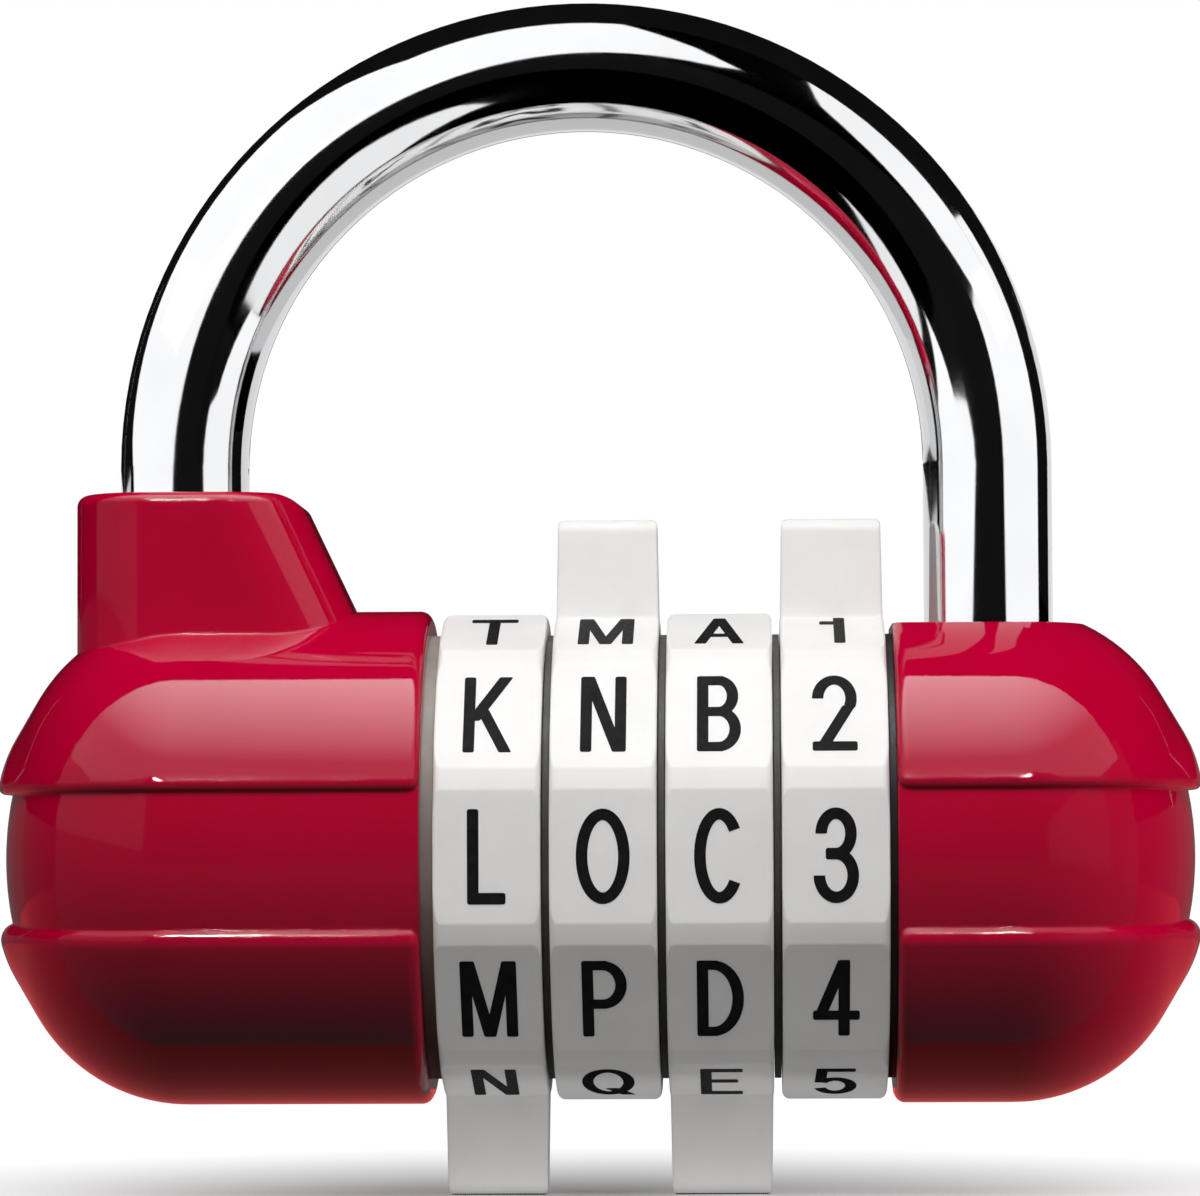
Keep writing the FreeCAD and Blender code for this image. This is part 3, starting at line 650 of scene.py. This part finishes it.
def buildLight():
    t = studio["topLight"]
    top = areaLamp("topLight", toRow(t["x"], t["y"], t["z"]), t["wide"], t["deep"], t["level"])
    top.rotation_euler.x = math.atan2(-t["y"], t["z"])

    # lamps low on the paper throw light up, and a small one before the dials lights only them
    lit = collectionOf("litDials", [nodes[name] for name in dialNames] + characterPieces)
    caps = collectionOf("litCaps", [nodes["left_housing"], nodes["right_housing"]])
    for name, receivers in (("bounceCard", lit), ("capBounce", caps)):
        c = studio[name]
        (x1, x2), (y1, y2) = c["x"], c["y"]
        low = (floorZ - axisZ) / mm + c["lift"]
        spot = toRow((x1 + x2) / 2, (y1 + y2) / 2, low)
        under = areaLamp(name, spot, x2 - x1, y2 - y1, c["level"])
        under.rotation_euler.x = math.pi
        under.light_linking.receiver_collection = receivers
    d = studio["dialLight"]
    before = areaLamp("dialLight", toRow(d["x"], d["y"], d["z"]), d["wide"], d["deep"], d["level"])
    before.rotation_euler.x = math.atan2(-d["y"], d["z"])
    before.light_linking.receiver_collection = lit

    # a narrow strip on the paper lights the fins that hang in the dials' shade
    f = studio["finLight"]
    spot = toRow(f["x"], f["y"], (floorZ - axisZ) / mm + f["lift"])
    strip = areaLamp("finLight", spot, f["wide"], f["deep"], f["level"])
    strip.rotation_euler.x = math.radians(f["tilt"])
    strip.light_linking.receiver_collection = lit

    # a lamp at each side for the caps' ends
    e = studio["sideLights"]
    for side, turn in (("left", -90), ("right", 90)):
        x, level = e[side]
        lamp = areaLamp(side + "Light", toRow(x, e["y"], e["z"]), e["high"], e["wide"], level)
        lamp.rotation_euler.y = math.radians(turn)
        lamp.light_linking.receiver_collection = caps


def buildWorld():
    world = bpy.data.worlds.new("studio")
    bpy.context.scene.world = world
    world.use_nodes = True
    tree = world.node_tree
    tree.nodes.clear()
    out = addNode(tree, "ShaderNodeOutputWorld")
    where = addNode(tree, "ShaderNodeTexCoord")
    facing = addNode(tree, "ShaderNodeVectorMath", operation="DOT_PRODUCT")
    tree.links.new(where.outputs["Generated"], facing.inputs[0])
    facing.inputs[1].default_value = studio["fillFrom"]
    level = ramp(tree, facing.outputs["Value"], 0.0, studio["worldFill"],
                 studio["fillStart"], studio["fillFull"])
    fill = addNode(tree, "ShaderNodeBackground", Color=(1, 1, 1, 1))
    tree.links.new(level, fill.inputs["Strength"])
    white = addNode(tree, "ShaderNodeBackground", Color=(1, 1, 1, 1), Strength=1.0)
    path = addNode(tree, "ShaderNodeLightPath")
    shiny = addNode(tree, "ShaderNodeMath", operation="MAXIMUM")
    tree.links.new(path.outputs["Is Glossy Ray"], shiny.inputs[0])
    tree.links.new(path.outputs["Is Transmission Ray"], shiny.inputs[1])
    seen = addNode(tree, "ShaderNodeMath", operation="MAXIMUM")
    tree.links.new(path.outputs["Is Camera Ray"], seen.inputs[0])
    tree.links.new(shiny.outputs[0], seen.inputs[1])
    # white to the eye and in mirrors, a soft fill for everything else
    blend = addNode(tree, "ShaderNodeMixShader")
    tree.links.new(seen.outputs[0], blend.inputs["Fac"])
    tree.links.new(fill.outputs[0], blend.inputs[1])
    tree.links.new(white.outputs[0], blend.inputs[2])
    tree.links.new(blend.outputs[0], out.inputs["Surface"])


def buildFloor():
    mat, tree, out = emptyMaterial("paleFloor")
    shade = studio["paper"]
    paper = addNode(tree, "ShaderNodeBsdfDiffuse", Color=(shade, shade, shade, 1))
    glow = addNode(tree, "ShaderNodeEmission", Color=(1, 1, 1, 1), Strength=1.0)
    where = addNode(tree, "ShaderNodeTexCoord")
    away = addNode(tree, "ShaderNodeVectorMath", operation="LENGTH")
    tree.links.new(where.outputs["Object"], away.inputs[0])
    far = ramp(tree, away.outputs["Value"], 0.0, 1.0, studio["glowFrom"] * mm, studio["glowTo"] * mm)
    path = addNode(tree, "ShaderNodeLightPath")
    seen = addNode(tree, "ShaderNodeMath", operation="MAXIMUM")
    tree.links.new(path.outputs["Is Camera Ray"], seen.inputs[0])
    tree.links.new(path.outputs["Is Glossy Ray"], seen.inputs[1])
    amount = addNode(tree, "ShaderNodeMath", operation="MULTIPLY")
    tree.links.new(far, amount.inputs[0])
    tree.links.new(seen.outputs[0], amount.inputs[1])
    blend = addNode(tree, "ShaderNodeMixShader")
    tree.links.new(amount.outputs[0], blend.inputs["Fac"])
    tree.links.new(paper.outputs[0], blend.inputs[1])
    tree.links.new(glow.outputs[0], blend.inputs[2])
    tree.links.new(blend.outputs[0], out.inputs["Surface"])
    reach = studio["floorReach"] * mm
    corners = [(-reach, -reach, 0), (reach, -reach, 0), (reach, reach, 0), (-reach, reach, 0)]
    obj = newObject("studioFloor", corners, [(0, 1, 2, 3)], mat)
    obj.location.z = floorZ
    obj.visible_diffuse = False  # the paper throws no light back up at the lock


camera = {  # fitted to the photograph: mm from the dial axis, degrees, and pixels at 1200 wide
    "distance": 284.96, "azimuth": 1.663, "height": -0.10, "across": 0.767,
    "pitch": 2.84, "roll": -0.252, "focal": 5244.8, "imageWidth": 1200, "sensor": 36,
}


def buildCamera():
    turn = math.radians(camera["azimuth"])
    cam = bpy.data.cameras.new("photoCamera")
    cam.sensor_width = camera["sensor"]
    cam.lens = camera["focal"] / camera["imageWidth"] * cam.sensor_width
    cam.clip_start, cam.clip_end = 0.01, 20
    obj = bpy.data.objects.new("photoCamera", cam)
    bpy.context.scene.collection.objects.link(obj)
    obj.location = ((camera["across"] + camera["distance"] * math.sin(turn)) * mm,
                    -camera["distance"] * math.cos(turn) * mm, axisZ + camera["height"] * mm)
    look = Euler((math.radians(90 + camera["pitch"]), 0, turn)).to_matrix()
    roll = Matrix.Rotation(math.radians(camera["roll"]), 3, "Z")
    obj.rotation_euler = (look @ roll).to_euler()
    bpy.context.scene.camera = obj


buildCards()
buildLight()
buildWorld()
buildFloor()
buildCamera()
bpy.context.scene.view_settings.view_transform = "Standard"
print("studio: lights, cards, floor and camera")
